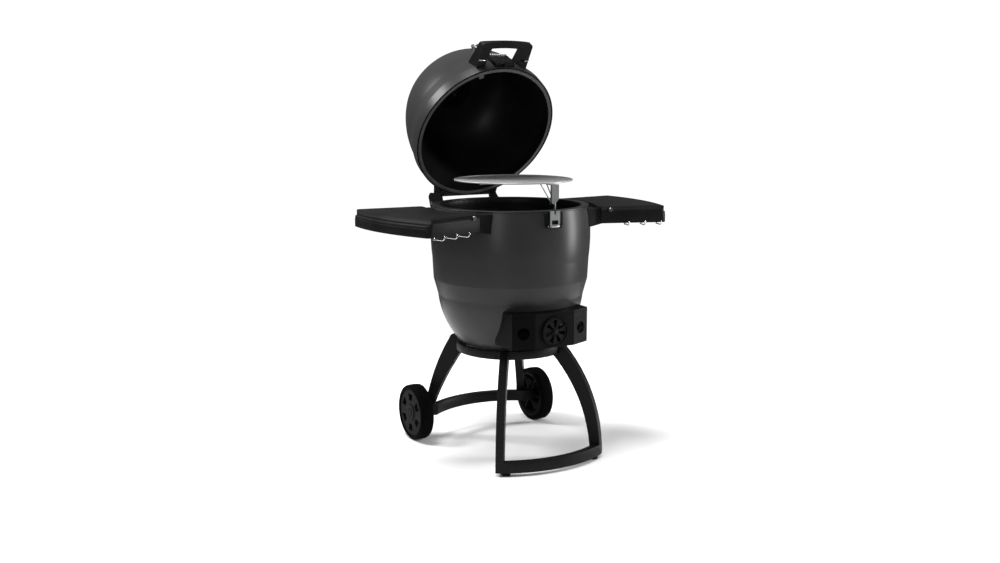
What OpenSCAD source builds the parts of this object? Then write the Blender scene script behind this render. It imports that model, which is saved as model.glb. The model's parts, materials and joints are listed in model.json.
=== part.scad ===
/* [Body] */
// Outer radius of the body at its rim
rim_r = 270; // [268:1:272]
// Height of the body's rim above the floor
rim_z = 871; // [868:1:874]
// Thickness of the double wall with its insulation
wall = 26; // [24:1:28]
// Thickness of each steel skin
skin = 1.5; // [1:0.5:3]

/* [Lid] */
// Outer radius of the lid at its rim
lid_r = 266.5; // [265:0.5:268]
// Height of the lid from its rim to its top
lid_h = 320; // [316:1:324]
// Thickness of the lid's double wall
lid_wall = 17; // [16:0.5:18]
// Angle at which the lid stands open
lid_open = 59; // [0:1:59]
// Gap between the rim and the closed lid
lid_gap = 3; // [2.5:0.5:4]

/* [Shelves] */
// Height of the shelf tops above the floor
shelf_z = 867; // [865:1:869]
// Height of the shelf skirts
skirt_h = 58; // [54:1:60]
// Wall thickness of the moulded shelves
shelf_wall = 3.5; // [3:0.5:4]
// Distance of the straight outer edge from the middle
shelf_out = 525; // [515:1:530]

/* [Stand] */
// Outer radius of the ring that carries the body
ring_r = 190; // [188:1:192]
// Thickness of the legs
leg_t = 28; // [24:1:30]
// Radius of the wheels
wheel_r = 101.5; // [99:0.5:103]
// Width of the wheels
wheel_w = 53; // [48:1:54]
// Distance of the wheel's inner face from the middle
wheel_in = 228; // [226:1:232]

/* [Racks] */
// Radius of the upper rack
rack_r = 206; // [198:1:208]
// Height of the upper rack above the floor
rack_z = 955; // [945:1:958]
// Radius of the cooking grid
grid_r = 236; // [230:1:238]

/* [Hidden] */
$fn = 96;

// The body's axis stands this far in front of the middle of the whole grill.
keg_y = -80;
// Running clearance of a pin in its bore, and the air left between parts that slide past each other
fit = 0.05;
air = 0.4;

// ---- Curves ----
function bez3(a, b, c, t) = pow(1 - t, 2) * a + 2 * t * (1 - t) * b + t * t * c;
function bez4(a, b, c, d, t) =
    pow(1 - t, 3) * a + 3 * t * pow(1 - t, 2) * b + 3 * t * t * (1 - t) * c + pow(t, 3) * d;
function reversed(list) = [for (i = [len(list) - 1:-1:0]) list[i]];
function curve3(a, b, c, n) = [for (i = [0:n]) bez3(a, b, c, i / n)];
function curve4(a, b, c, d, n) = [for (i = [0:n]) bez4(a, b, c, d, i / n)];

// ---- Body outline: radius and height, from the rim down, moved inwards by d ----
belly = [13.5, -91];        // how far the barrel's control point stands out and down from the rim
band_top = 690;             // pressed step below the barrel
crease_1 = [268.5, 617];    // lower edge of the plain band
crease_2 = [253.3, 562];    // lower edge of the conical band
bowl_mid = [243, 465];      // control point of the rounded bowl
bowl_foot = [173, 388];     // where the bowl meets the ring
floor_z = 366;              // underside of the body
function body_outline(d, top) = concat(
    curve3([rim_r - d, top], [rim_r + belly.x - d, rim_z + belly.y], [rim_r + 2.4 - d, band_top], 10),
    [[rim_r + 1 - d, band_top - 4], crease_1 - [d, 0]],
    curve3(crease_2 - [d, 0], bowl_mid + [-d, 0.25 * d], bowl_foot + [-0.7 * d, 0.8 * d], 10),
    [[118, floor_z + d], [0, floor_z + d]]);
module body_band(d_out, d_in, top) {
    rotate_extrude()
        polygon(concat(body_outline(d_out, top), reversed(body_outline(d_in, top))));
}
module body_solid(d) {
    rotate_extrude() polygon(concat([[rim_r - d, rim_z]], body_outline(d, rim_z - rim_t), [[0, rim_z]]));
}

// ---- Lid outline: radius and height above the lid's own rim, moved inwards by d ----
lid_crease_1 = [267.5, 36];
lid_crease_2 = [257.5, 80];
function lid_outline(d, foot) = concat(
    [[lid_r - d, foot], lid_crease_1 - [d, 0]],
    curve4(lid_crease_2 - [d, 0], [229 - d, 236], [200 - 0.8 * d, lid_h - d], [0, lid_h - d], 16));
module lid_band(d_out, d_in, foot) {
    rotate_extrude() polygon(concat(lid_outline(d_out, foot), reversed(lid_outline(d_in, foot))));
}
module lid_solid(d) {
    rotate_extrude() polygon(concat([[0, 0]], lid_outline(d, 0)));
}

// ---- Placing ----
module keg() { translate([0, keg_y, 0]) children(); }
hinge_y = 290.6;
hinge_z = 839.3;
lid_z = rim_z + lid_gap;
module lid_frame() {
    keg() translate([0, hinge_y, hinge_z]) rotate([-lid_open, 0, 0])
        translate([0, -hinge_y, lid_z - hinge_z]) children();
}
// Draws its children with +Z pointing to the front, then turned about the vertical by yaw
module facing(place, yaw = 0) {
    translate(place) rotate([0, 0, yaw]) rotate([90, 0, 0]) children();
}
module along_x(from, to, radius) {
    translate([from, 0, 0]) rotate([0, 90, 0]) cylinder(h = to - from, r = radius);
}
module side_of(side) { mirror([side < 0 ? 1 : 0, 0, 0]) children(); }
// A radial plane turned to an angle from the front: 2D x is the radius, 2D y the height
module radial_plane(angle, thickness) {
    rotate([0, 0, angle - 90]) rotate([90, 0, 0]) translate([0, 0, -thickness / 2])
        linear_extrude(thickness) children();
}
module wedge(from, to, radius) {
    polygon(concat([[0, 0]], [for (i = [0:6]) let (a = from + (to - from) * i / 6)
        radius * [cos(a), sin(a)]]));
}

// ---- Body ----
drawer_w = 94;
drawer_z = [424, 486];
module drawer_hole() {
    translate([-drawer_w, -320, drawer_z[0]]) cube([2 * drawer_w, 220, drawer_z[1] - drawer_z[0]]);
}
rim_t = 5;
module body_shell() {
    color("#3b3c3e") keg() difference() {
        body_band(0, skin, rim_z - rim_t);
        drawer_hole();
    }
}
module body_insulation() {
    color("#c9c2b0") keg() difference() {
        body_band(skin + 0.2, wall - skin - 0.2, rim_z - rim_t - 0.2);
        drawer_hole();
    }
}
module body_liner() {
    color("#242527") keg() difference() {
        body_band(wall - skin, wall, rim_z - rim_t);
        drawer_hole();
    }
}
module body_rim() {
    color("#2b2c2e") keg() rotate_extrude() {
        polygon([[rim_r - wall, rim_z - rim_t], [rim_r + 0.8, rim_z - rim_t], [rim_r + 0.8, rim_z - 1.5],
            [rim_r - 0.7, rim_z], [rim_r - wall + 1.5, rim_z], [rim_r - wall, rim_z - 1.5]]);
    }
}

// ---- Inside ----
grid_z = 832;
grate_z = 505;
module liner_brackets() {
    color("#303133") keg() for (angle = [60, 180, 300]) {
        rotate([0, 0, angle]) intersection() {
            union() {
                translate([-14, -262, grid_z - 16]) cube([28, 34, 4]);
                translate([-14, -262, grid_z - 40]) cube([28, 6, 26]);
                translate([-14, -230, grate_z - 6]) cube([28, 44, 4]);
                translate([-14, -230, grate_z - 26]) cube([28, 10, 22]);
            }
            body_solid(wall + 0.8);
        }
    }
}
module bars(radius, pitch, width) {
    intersection() {
        circle(r = radius);
        for (x = [-floor(radius / pitch) * pitch:pitch:radius]) {
            translate([x - width / 2, -radius]) square([width, 2 * radius]);
        }
    }
}
post_x = 33;
post_y = -231;
module cooking_grid() {
    color("#26282a") keg() translate([0, 0, grid_z - 12 + air]) difference() {
        union() {
            linear_extrude(10) bars(grid_r - 2, 15, 6);
            linear_extrude(12) difference() {
                circle(r = grid_r);
                circle(r = grid_r - 8);
            }
            translate([-grid_r + 4, -5, 0]) cube([2 * grid_r - 8, 10, 10]);
        }
        translate([post_x, post_y - 6, -1]) cylinder(h = 14, r = 26);
    }
}
module charcoal_grate() {
    color("#2f3133") keg() translate([0, 0, grate_z - 2 + air]) {
        linear_extrude(8) union() {
            bars(190 - 2, 20, 7);
            difference() {
                circle(r = 190);
                circle(r = 182);
            }
        }
        translate([-186, -4, 0]) cube([372, 8, 8]);
    }
}

// ---- Stand ----
ring_z = [360, 390];
module stand_ring() {
    color("#1b1c1d") keg() difference() {
        rotate_extrude() polygon([[ring_r - 14, ring_z[1]], [ring_r - 1, ring_z[1]], [ring_r, ring_z[1] - 1],
            [ring_r, ring_z[0] + 1], [ring_r - 1, ring_z[0]], [ring_r - 26, ring_z[0]],
            [ring_r - 26, ring_z[0] + 4], [ring_r - 14, ring_z[0] + 4]]);
        body_solid(0);
    }
}
module ring_space() {
    translate([0, 0, ring_z[0] - 0.1]) cylinder(h = ring_z[1] - ring_z[0] + 9, r = ring_r + 0.1);
}
bar_z = [12, 50];
front_angle = 36.5;
module front_leg(side) {
    color("#1b1c1d") keg() side_of(side) difference() {
        radial_plane(front_angle, leg_t) polygon(concat(
            curve3([200, 392], [343, 236], [342, bar_z[0]], 12),
            reversed(curve3([158, 362], [296, 215], [306, bar_z[0]], 12))));
        ring_space();
    }
}
axle_y = 245;
axle_r = 6;
axle_head = 185.5;          // inner end of the axle's bearing block
rear_bar_z = [89, 127];
rear_angle = 142;
module rear_leg(side) {
    color("#1b1c1d") keg() side_of(side) difference() {
        union() {
            radial_plane(rear_angle, leg_t) polygon(concat(
                curve3([224, 392], [306, 262], [334, 92], 12),
                reversed(curve3([165, 362], [262, 235], [312, 92], 12))));
            translate([axle_head, axle_y - 39, rear_bar_z[0]])
                cube([wheel_in - 3 - axle_head, 55, rear_bar_z[1] - rear_bar_z[0]]);
        }
        ring_space();
        translate([0, axle_y, wheel_r]) along_x(150, 260, axle_r + fit);
        // pocket for the bolt's head
        translate([0, axle_y, wheel_r]) along_x(150, axle_head - 0.2, 10.6);
    }
}
bar_t = 25;
module bowed_bar(radius, centre_y, half_width, low, high, toward) {
    translate([0, 0, low]) linear_extrude(high - low) intersection() {
        difference() {
            translate([0, centre_y]) circle(r = radius, $fn = 180);
            translate([0, centre_y]) circle(r = radius - bar_t, $fn = 180);
        }
        translate([-half_width, toward > 0 ? 0 : -420]) square([2 * half_width, 420]);
    }
}
module front_bar() {
    color("#1b1c1d") keg() difference() {
        bowed_bar(412.5, 82.5, 205, bar_z[0], bar_z[1], -1);
        for (side = [-1, 1]) {
            side_of(side) rotate([0, 0, front_angle - 90]) translate([250, -leg_t / 2 - 0.1, 0])
                cube([140, 60, 80]);
        }
    }
}
module rear_bar() {
    color("#1b1c1d") keg() difference() {
        bowed_bar(332, -37, 215, rear_bar_z[0], rear_bar_z[1], 1);
        for (side = [-1, 1]) {
            // notch for the leg, square end against the bearing block, room for the bolt's head
            side_of(side) rotate([0, 0, rear_angle - 90]) translate([290, -leg_t / 2 - 0.1, 60])
                cube([80, leg_t + 0.2, 100]);
            side_of(side) translate([axle_head - 0.1, axle_y - 90, 80]) cube([60, 130, 60]);
            side_of(side) translate([0, axle_y, wheel_r]) along_x(170, 240, 11);
        }
    }
}
foot_x = 176;
foot_y = -270;
module feet() {
    color("#141414") keg() for (side = [-1, 1]) {
        translate([side * foot_x, foot_y, 0]) {
            cylinder(h = 3, r1 = 13, r2 = 15);
            translate([0, 0, 3]) cylinder(h = 6, r = 15);
            translate([0, 0, 9]) cylinder(h = bar_z[0] - 9, r = 7);
        }
    }
}
module axle_bolts() {
    color("#8d9094") keg() for (side = [-1, 1]) {
        side_of(side) translate([0, axle_y, wheel_r]) {
            along_x(178, wheel_in + wheel_w - 4, axle_r);
            translate([178, 0, 0]) rotate([0, 90, 0]) cylinder(h = 7, r = 10, $fn = 6);
        }
    }
}
module bolt_head(r, h) {
    cylinder(h = h, r1 = r, r2 = 0.75 * r);
}
module frame_bolts() {
    color("#5a5c5e") keg() {
        for (angle = [-front_angle - 9, front_angle + 9, -rear_angle + 9, rear_angle - 9]) {
            rotate([0, 0, angle]) for (z = [369, 383]) {
                facing([0, -(ring_r + 0.2), z]) bolt_head(4, 3);
            }
        }
        for (x = [-90, -30, 30, 90]) {
            translate([x, hinge_block_y + 0.1, 808]) rotate([-90, 0, 0]) bolt_head(6, 4);
        }
    }
}

// ---- Wheels ----
tyre_in = 84;
module tyre(side) {
    color("#191a1b") keg() side_of(side) translate([wheel_in, axle_y, wheel_r]) rotate([0, 90, 0])
        rotate_extrude($fn = 120) polygon(concat(
            [[tyre_in, 2], [92, 0], [98, 3]],
            curve3([100, 7], [wheel_r + 0.6, wheel_w / 2], [100, wheel_w - 7], 6),
            [[98, wheel_w - 3], [92, wheel_w], [tyre_in, wheel_w - 2]]));
}
hub_r = tyre_in - 0.1;
module wheel_hub(side) {
    color("#232426") keg() side_of(side) translate([wheel_in, axle_y, wheel_r]) rotate([0, 90, 0])
        difference() {
            union() {
                difference() {
                    cylinder(h = wheel_w - 4, r = hub_r);
                    translate([0, 0, -1]) cylinder(h = wheel_w - 10, r = hub_r - 7);
                }
                translate([0, 0, 1]) cylinder(h = wheel_w - 6, r = 20);
                translate([0, 0, wheel_w - 6]) cylinder(h = 5, r1 = 34, r2 = 30);
                for (i = [0:5]) {
                    rotate([0, 0, 60 * i + 30]) translate([18, -3, 6]) cube([60, 6, wheel_w - 16]);
                }
            }
            translate([0, 0, -2]) cylinder(h = wheel_w + 4, r = axle_r + fit);
            translate([0, 0, wheel_w - 7.5]) cylinder(h = 10, r = 15.05);
            for (i = [0:5]) {
                rotate([0, 0, 60 * i]) translate([0, 0, wheel_w - 14]) linear_extrude(20)
                    polygon([[44, -10], [68, -17], [68, 17], [44, 10]]);
            }
        }
}
module hub_cap(side) {
    color("#2e2f31") keg() side_of(side) translate([wheel_in, axle_y, wheel_r]) rotate([0, 90, 0]) {
        difference() {
            translate([0, 0, wheel_w - 7.4]) cylinder(h = 5.4, r = 15);
            translate([0, 0, wheel_w - 8]) cylinder(h = 4.5, r = axle_r + 1);
        }
        translate([0, 0, wheel_w - 2]) cylinder(h = 2, r1 = 15, r2 = 12);
    }
}

// ---- Side shelves: each folds down about a line through its two pins ----
pivot_front = [266, -218];
pivot_rear = [300, 134];
pivot_z = 856;
pivot_len = norm(pivot_rear - pivot_front);
pivot_yaw = atan2(pivot_rear.x - pivot_front.x, pivot_rear.y - pivot_front.y);
// Draws its children with +Z running along the fold line, from the front pin to the rear pin
module fold_line() {
    translate([pivot_front.x, pivot_front.y, pivot_z]) rotate([0, 0, -pivot_yaw])
        rotate([-90, 0, 0]) children();
}
front_in = [238, -208.5];
front_out = [441, -280];
rear_out = [523, 145];
rear_in = [286, 127];
front_dir = (front_out - front_in) / norm(front_out - front_in);
front_normal = [front_dir.y, -front_dir.x];
// The shelf's outline moved inwards by d, with its side towards the body left as it is
function shelf_outline(d) = let (
        f_in = front_in - d * front_normal,
        f_out = front_out - d * front_normal - 0.3 * d * front_dir,
        o_front = [467 - d, -262 + 0.6 * d],
        r_out = rear_out - [d, d],
        r_in = rear_in - [0, d])
    concat([r_in], curve3(r_out, [shelf_out + 28 - d, -60], o_front, 10),
        curve3(o_front, [461 - d, -284 + d], f_out, 4), [f_in]);
body_gap_r = 297;
module shelf_shape(d, hole_r) {
    difference() {
        polygon(shelf_outline(d));
        circle(r = hole_r, $fn = 180);
    }
}
module shelf(side) {
    color("#212224") keg() side_of(side) difference() {
        union() {
            difference() {
                translate([0, 0, shelf_z - skirt_h]) linear_extrude(skirt_h) shelf_shape(0, body_gap_r);
                translate([0, 0, shelf_z - skirt_h - 1]) linear_extrude(skirt_h - 3)
                    difference() {
                        union() {
                            polygon(shelf_outline(shelf_wall));
                            translate([200, -203]) square([90, 325]);
                        }
                        // corner posts that close the skirts at the ends of the body side
                        translate(front_in - [0, 4]) square([4, 7]);
                        translate(rear_in - [0, 7]) square([4, 7]);
                    }
            }
            // bosses round the two pins
            fold_line() cylinder(h = 8, r = 9);
            fold_line() translate([0, 0, pivot_len - 12]) cylinder(h = 8, r = 9);
        }
        // shallow step round the top panel
        translate([0, 0, shelf_z - 2]) linear_extrude(3) difference() {
            polygon(shelf_outline(-1));
            shelf_shape(14, body_gap_r + 12);
        }
        // pressed line along the skirts
        translate([0, 0, shelf_z - 24]) linear_extrude(2.5) difference() {
            polygon(shelf_outline(-1));
            polygon(shelf_outline(1.2));
        }
        fold_line() translate([0, 0, -20]) cylinder(h = pivot_len + 40, r = pin_r + fit);
        translate([0, 0, shelf_z]) cylinder(h = 20, r = 600);
    }
}
pin_r = 4;
module shelf_pins(side) {
    color("#c9ccd0") keg() side_of(side) fold_line() {
        translate([0, 0, -4]) cylinder(h = 34, r = pin_r);
        translate([0, 0, -9]) cylinder(h = 5, r1 = 6.5, r2 = 8);
        translate([0, 0, pivot_len - 32]) cylinder(h = 34, r = pin_r);
        translate([0, 0, pivot_len + 2]) cylinder(h = 5, r1 = 8, r2 = 6.5);
    }
}
module shelf_bracket(side) {
    arm_t = 14;
    arm_low = 804;
    color("#17181a") keg() side_of(side) difference() {
        union() {
            for (arm = [[-200, 185], [100, 245]]) {
                let (tip = pivot_front.x + (arm[0] + arm_t / 2 - pivot_front.y) * tan(pivot_yaw)) {
                    translate([0, arm[0] + arm_t, 0]) rotate([90, 0, 0]) linear_extrude(arm_t) {
                        polygon([[arm[1], arm_low - 6], [arm[1] + 20, arm_low - 4], [tip - 20, arm_low + 4],
                            [tip + 5.5, pivot_z - 2], [tip, pivot_z + 5.5], [arm[1], pivot_z + 5.5]]);
                        translate([tip, pivot_z]) circle(r = 6);
                    }
                }
            }
            for (span = [[-44, -34], [12, 24]]) {
                translate([0, 0, arm_low]) linear_extrude(pivot_z + 5.5 - arm_low) difference() {
                    wedge(span[0], span[1], 284);
                    circle(r = 240);
                }
            }
        }
        body_solid(-0.1);
        fold_line() translate([0, 0, -20]) cylinder(h = pivot_len + 40, r = pin_r + fit);
    }
}
hook_r = 2;
module hook() {
    rotate([90, 0, 0]) cylinder(h = 34, r = hook_r, $fn = 24);
    translate([0, -34, 8]) rotate([0, 90, 0]) rotate_extrude(angle = -90, $fn = 32)
        translate([8, 0]) circle(r = hook_r, $fn = 24);
    translate([0, -42, 8]) cylinder(h = 5, r = hook_r, $fn = 24);
    translate([0, -42, 13]) sphere(r = hook_r, $fn = 24);
    translate([0, 3, -hook_r]) cylinder(h = 2 * hook_r + 4, r = 4, $fn = 24);
}
module hooks(side) {
    color("#d4d7da") keg() side_of(side) for (s = [88, 145, 202]) {
        let (p = front_in + s * front_dir - 8 * front_normal) {
            translate([p.x, p.y, shelf_z - skirt_h - 5]) rotate([0, 0, atan2(front_dir.y, front_dir.x)])
                hook();
        }
    }
}

// ---- Lid latch on the front of the body ----
latch_low = 818;
latch_y = -284;
latch_pivot_z = latch_low + 3;
module latch_base() {
    color("#17181a") keg() difference() {
        union() {
            facing([0, latch_y + 4.4, latch_low - 2]) translate([-33, 0, -14]) linear_extrude(14)
                polygon([[5, 0], [61, 0], [66, 5], [66, 48], [62, 52], [4, 52], [0, 48], [0, 5]]);
            for (x = [-25.5, 20.5]) {
                translate([x, latch_y - 4, latch_low - 2]) cube([5, 12, 10]);
            }
        }
        body_solid(-0.1, $fn = 288);
        translate([0, 0, rim_z - rim_t - 0.2]) cylinder(h = 20, r = rim_r + 1.1);
        translate([0, latch_y, latch_pivot_z]) along_x(-40, 40, 2.5 + fit);
    }
}
module latch_pin() {
    color("#c9ccd0") keg() translate([0, latch_y, latch_pivot_z]) along_x(-27, 27, 2.5);
}
module latch_lever() {
    color("#c9ccd0") keg() difference() {
        union() {
            facing([0, latch_y + 1, latch_low]) translate([-19, 0, 0]) linear_extrude(2) difference() {
                polygon(concat(curve3([0, 8], [0, 0], [8, 0], 5), curve3([30, 0], [38, 0], [38, 8], 5),
                    [[38, 51], [36, 53], [2, 53], [0, 51]]));
                translate([16, 41]) square([6, 20]);
                polygon([[8, 8.5], [30, 8.5], [31.5, 10], [31.5, 21], [30, 22.5], [8, 22.5], [6.5, 21],
                    [6.5, 10]]);
            }
            translate([0, latch_y, latch_pivot_z]) along_x(-14, 14, 4);
            // finger lip at the top
            for (x = [-19, 7]) {
                facing([0, latch_y - 0.9, latch_low + 50]) translate([x, 0, 0]) cube([12, 3, 2.5]);
            }
        }
        translate([0, latch_y, latch_pivot_z]) along_x(-40, 40, 2.5 + fit);
    }
}

// ---- Ash drawer: damper housing and pan slide out of the body together ----
face_y = -289;
face_x = 76;
cheek = [148, -260];
cheek_yaw = atan2(cheek.y - face_y, cheek.x - face_x);
house_z = [418, 536];
disc_z = 472;
function house_outline(d) = [
    [cheek.x - d, -150], [cheek.x - d, cheek.y + 0.8 * d], [face_x - 0.2 * d, face_y + d],
    [-face_x + 0.2 * d, face_y + d], [-cheek.x + d, cheek.y + 0.8 * d], [-cheek.x + d, -150]];
cheek_mid = [(face_x + cheek.x) / 2, (face_y + cheek.y) / 2];
module on_cheek(side) {
    facing([side * cheek_mid.x, cheek_mid.y, disc_z], side * cheek_yaw) children();
}
slots = 7;
module slot_shape() {
    intersection() {
        difference() {
            circle(r = 39);
            circle(r = 13);
        }
        union() for (i = [0:slots - 1]) {
            wedge(90 + 360 / slots * i - 11, 90 + 360 / slots * i + 11, 60);
        }
    }
}
module damper_housing() {
    color("#1c1d1f") keg() difference() {
        union() {
            difference() {
                translate([0, 0, house_z[0]]) linear_extrude(house_z[1] - house_z[0])
                    polygon(house_outline(0));
                translate([0, 0, house_z[0] + 3]) linear_extrude(house_z[1] - house_z[0] - 6)
                    polygon(house_outline(3));
            }
            facing([0, face_y, disc_z]) difference() {
                cylinder(h = 5, r = 50);
                translate([0, 0, -1]) cylinder(h = 8, r = 45.5);
            }
            for (side = [-1, 1]) {
                on_cheek(side) translate([0, 0, -11]) cylinder(h = 11, r = 23);
            }
            // raised line along the top of the face
            translate([0, 0, house_z[1] - 12]) linear_extrude(2.5) difference() {
                polygon(house_outline(-0.8));
                polygon(house_outline(1));
            }
        }
        body_solid(-1);
        facing([0, face_y, disc_z]) translate([0, 0, -6]) linear_extrude(8) slot_shape();
        facing([0, face_y, disc_z]) translate([0, 0, -6]) cylinder(h = 8, r = 3 + fit);
        for (side = [-1, 1]) {
            on_cheek(side) {
                translate([0, 0, -8]) cylinder(h = 10, r = 20);
                translate([0, 0, -13]) cylinder(h = 8, r = 4 + fit);
            }
        }
    }
}
module ash_pan() {
    pan = [84, 428, 466];
    color("#77797c") keg() difference() {
        union() {
            translate([-pan[0], -272, pan[1]]) cube([2 * pan[0], 250, pan[2] - pan[1]]);
            translate([-pan[0], -282, pan[1]]) cube([2 * pan[0], 12, 4]);
        }
        translate([-pan[0] + 1.5, -270.5, pan[1] + 1.5]) cube([2 * pan[0] - 3, 247, 60]);
    }
}
module damper_rivet() {
    color("#9a9da0") keg() facing([0, face_y, disc_z]) {
        translate([0, 0, -3]) cylinder(h = 13, r = 3);
        translate([0, 0, 9.5]) cylinder(h = 2.5, r1 = 6.5, r2 = 5);
        translate([0, 0, -5]) cylinder(h = 2, r = 6);
    }
}
module damper_disc() {
    color("#2b2d2f") keg() facing([0, face_y, disc_z]) difference() {
        union() {
            translate([0, 0, air]) linear_extrude(2.4) difference() {
                circle(r = 44.5);
                slot_shape();
            }
            translate([0, 0, air]) cylinder(h = 8.8, r1 = 12, r2 = 9);
            rotate([0, 0, 180 / slots]) translate([30, -2, air]) cube([12, 4, 9]);
        }
        translate([0, 0, -1]) cylinder(h = 12, r = 3 + fit);
    }
}
module clamp_knob(side) {
    color("#303234") keg() on_cheek(side) {
        translate([0, 0, -7.6]) cylinder(h = 3.6, r = 17.5);
        translate([0, 0, -4.5]) linear_extrude(9.5)
            polygon([[-16, -4.5], [-13, -6], [13, -6], [16, -4.5], [16, 4.5], [13, 6], [-13, 6], [-16, 4.5]]);
        translate([0, 0, -16]) cylinder(h = 9, r = 4);
        translate([-5, -12, -19]) cube([10, 24, 4]);
    }
}

// ---- Upper rack on its swinging post ----
wire = 2.5;
rack_x = 12;
module rack_grid() {
    color("#d4d7da") keg() translate([rack_x, 0, rack_z]) {
        rotate_extrude() translate([rack_r - wire, 0]) circle(r = wire, $fn = 24);
        for (i = [-10:10]) {
            let (x = i * 18.5, half = sqrt(pow(rack_r - wire, 2) - x * x)) {
                translate([x, half, -1.2]) rotate([90, 0, 0]) cylinder(h = 2 * half, r = 1.8, $fn = 24);
            }
        }
        for (y = [-90, 90]) {
            let (half = sqrt(pow(rack_r - wire, 2) - y * y)) {
                translate([0, y, -4]) along_x(-half, half, 2);
            }
        }
    }
}
module bar_between(a, b, r) {
    let (d = b - a, l = norm(d)) {
        translate(a) rotate([0, acos(d.z / l), atan2(d.y, d.x)]) cylinder(h = l, r = r, $fn = 24);
    }
}
brace_r = 2;
module rack_braces() {
    color("#d4d7da") keg() for (side = [-1, 1]) {
        let (elbow = [post_x - 8 + side * 4, post_y + 7.1, 900 + side * 5]) {
            bar_between(elbow, [rack_x + 20 + side * 12, -162, rack_z - 5.3], brace_r);
            // flattened lower end, against the back of the post
            translate(elbow - [brace_r + 0.5, brace_r, 10]) cube([2 * brace_r + 1, 2 * brace_r, 14]);
        }
    }
}
module rack_post() {
    color("#aeb2b6") keg() {
        translate([post_x, post_y, 0]) {
            // folded strip, cut off at a slant at its lower end
            difference() {
                translate([0, 5, 0]) rotate([90, 0, 0]) linear_extrude(9)
                    polygon([[-14, 892], [-5, 886], [14, 904], [14, rack_z - 3.4], [-14, rack_z - 3.4]]);
                translate([-12, -2, 880]) cube([24, 9, rack_z - 880 - 5.4]);
            }
            translate([-14, -4, rack_z - 5.4]) cube([28, 34, 2]);
            translate([0, 0, 838]) cylinder(h = rack_z - 838 - 4, r = 4);
        }
    }
}
module rack_socket() {
    color("#8d9094") keg() difference() {
        union() {
            translate([post_x, post_y, 838]) cylinder(h = 30, r = 8);
            translate([post_x - 12, post_y - 12, 836]) cube([24, 12, 32]);
        }
        translate([post_x, post_y, 837.6]) cylinder(h = 40, r = 4 + fit);
        difference() {
            translate([0, 0, 800]) cylinder(h = 100, r = 300);
            body_solid(wall + 0.8);
        }
    }
}

// ---- Hinge at the back ----
ear_x = 135;
ear_t = 8;
hinge_r = 5;
stop_y = 345.5;
stop_z = 850.2;
hinge_block_y = 283;
module hinge_bracket() {
    color("#232426") keg() difference() {
        union() {
            // the left ear carries a taller cheek than the right one
            translate([-ear_x, 0, 0]) rotate([90, 0, 90]) linear_extrude(ear_t)
                polygon([[200, 796], [262, 790], [322, 812], [352, 838], [360, 858], [366, 873],
                    [354, 888], [270, 892], [262, 866], [200, 866]]);
            translate([ear_x - ear_t, 0, 0]) rotate([90, 0, 90]) linear_extrude(ear_t)
                polygon([[200, 796], [262, 790], [322, 812], [356, 846], [358, 872], [344, 886],
                    [322, 868], [300, 858], [270, 866], [200, 866]]);
            translate([-ear_x, 200, 796]) cube([2 * ear_x, hinge_block_y - 200, 64]);
        }
        body_solid(-0.1);
        translate([0, hinge_y, hinge_z]) along_x(-150, 150, hinge_r + fit);
        translate([0, hinge_y, hinge_z]) along_x(-ear_x + ear_t, ear_x - ear_t, 19);
        translate([0, stop_y, stop_z]) along_x(-150, 150, 6 + fit);
        // slots for the two arms of the lid
        for (x = [-121.5, 110.5]) translate([x, 252, 812]) cube([11, 60, 80]);
    }
}
module hinge_rods() {
    color("#c9ccd0") keg() {
        translate([0, hinge_y, hinge_z]) {
            along_x(-ear_x - 3, ear_x + 3, hinge_r);
            along_x(-ear_x - 7, -ear_x - 3, 8);
            along_x(ear_x + 3, ear_x + 7, 8);
        }
        translate([0, stop_y, stop_z]) along_x(-ear_x - 2, ear_x + 2, 6);
    }
}
// Height of the hinge axis above the lid's rim, in the lid's own frame
axis_h = hinge_z - lid_z;
module lid_hinge_arm() {
    color("#232426") lid_frame() difference() {
        union() {
            for (x = [-120, 112]) {
                translate([x, 0, 0]) rotate([90, 0, 90]) linear_extrude(8) {
                    polygon([[hinge_y - 14, axis_h], [hinge_y + 14, axis_h], [306, 2], [300, 31],
                        [250, 60], [200, 60], [200, 6], [262, 4]]);
                    translate([hinge_y, axis_h]) circle(r = 14);
                }
            }
            translate([-120, 220, 8]) cube([240, 54, 40]);
        }
        lid_solid(-0.1);
        translate([0, hinge_y, axis_h]) along_x(-150, 150, hinge_r + fit);
    }
}

// ---- Lid ----
flange_in = 249.4;
flange_out = 261.4;
vent_hole = 48;
module vent_bore() { translate([0, 0, lid_h - 60]) cylinder(h = 100, r = vent_hole); }
module lid_shell() {
    color("#3b3c3e") lid_frame() difference() {
        lid_band(0, skin, 0);
        vent_bore();
    }
}
module lid_insulation() {
    color("#c9c2b0") lid_frame() difference() {
        lid_band(skin + 0.2, lid_wall - skin - 0.2, 5);
        vent_bore();
    }
}
module lid_liner() {
    color("#17181a") lid_frame() difference() {
        lid_band(lid_wall - skin, lid_wall, 4);
        vent_bore();
    }
}
module lid_flange() {
    color("#8d9094") lid_frame() {
        rotate_extrude() polygon([[flange_in, 0.5], [flange_in + 0.5, 0], [flange_out, 0],
            [flange_out, 3.8], [flange_in, 3.8]]);
        rotate([0, 0, -20]) translate([-9, -flange_in - 1, 0.3]) cube([18, 13, 3.2]);
    }
}
module lid_gasket() {
    color("#101010") lid_frame() rotate_extrude()
        polygon([[flange_out + 0.1, -1], [flange_out + 0.7, -2], [lid_r - skin - 0.7, -2],
            [lid_r - skin - 0.1, -1], [lid_r - skin - 0.1, 4.5], [flange_out + 0.1, 4.5]]);
}
rod_y = -282;
rod_a = 21;
rod_r = 4;
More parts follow.
